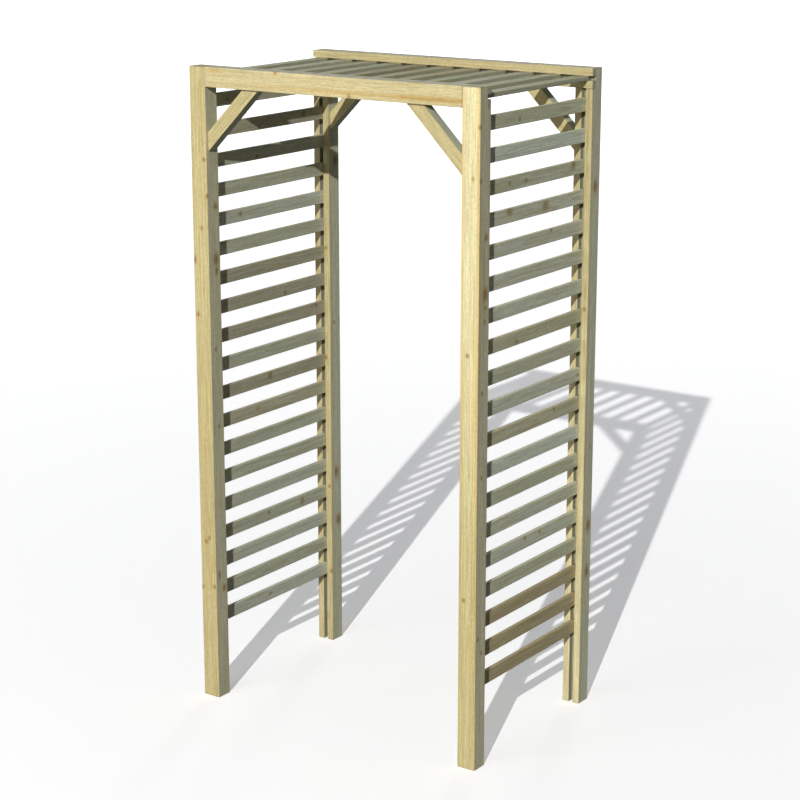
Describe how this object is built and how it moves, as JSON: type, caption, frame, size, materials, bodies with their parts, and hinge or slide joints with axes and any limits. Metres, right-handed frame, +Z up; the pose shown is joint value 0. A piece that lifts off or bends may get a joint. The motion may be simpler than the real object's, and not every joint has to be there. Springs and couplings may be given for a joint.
{
  "type": "garden arch",
  "caption": "Free-standing timber garden arch: a rectangular walk-through frame with slatted sides, a slatted flat roof and a short brace in each upper corner.",
  "frame": {"origin": "on the ground at the middle of the arch's footprint", "axes": "+X across the walkway, to the right when seen from the front; +Y from the front face to the back face, along the way through; +Z up"},
  "size_m": [1.13, 0.73, 2.2],
  "materials": {
    "board": "planed softwood, pale yellow with knots",
    "batten": "planed softwood, pale yellow",
    "brace": "planed softwood, pale yellow",
    "slat": "sawn softwood, green-grey pressure-treated tint"
  },
  "bodies": {
    "root": {"front_left_post": "board", "front_right_post": "board", "back_left_post": "board", "back_right_post": "board", "front_header": "board", "back_header": "board", "front_left_outer_batten": "batten", "front_left_inner_batten": "batten", "front_right_outer_batten": "batten", "front_right_inner_batten": "batten", "back_left_outer_batten": "batten", "back_left_inner_batten": "batten", "back_right_outer_batten": "batten", "back_right_inner_batten": "batten", "front_upper_header_batten": "batten", "front_lower_header_batten": "batten", "back_upper_header_batten": "batten", "back_lower_header_batten": "batten", "front_left_brace": "brace", "front_right_brace": "brace", "back_left_brace": "brace", "back_right_brace": "brace", "left_side_slats": "slat", "right_side_slats": "slat", "roof_slat_01": "slat", "roof_slat_02": "slat", "roof_slat_03": "slat", "roof_slat_04": "slat", "roof_slat_05": "slat", "roof_slat_06": "slat", "roof_slat_07": "slat", "roof_slat_08": "slat", "roof_slat_09": "slat", "roof_slat_10": "slat", "roof_slat_11": "slat"}
  },
  "joints": []
}
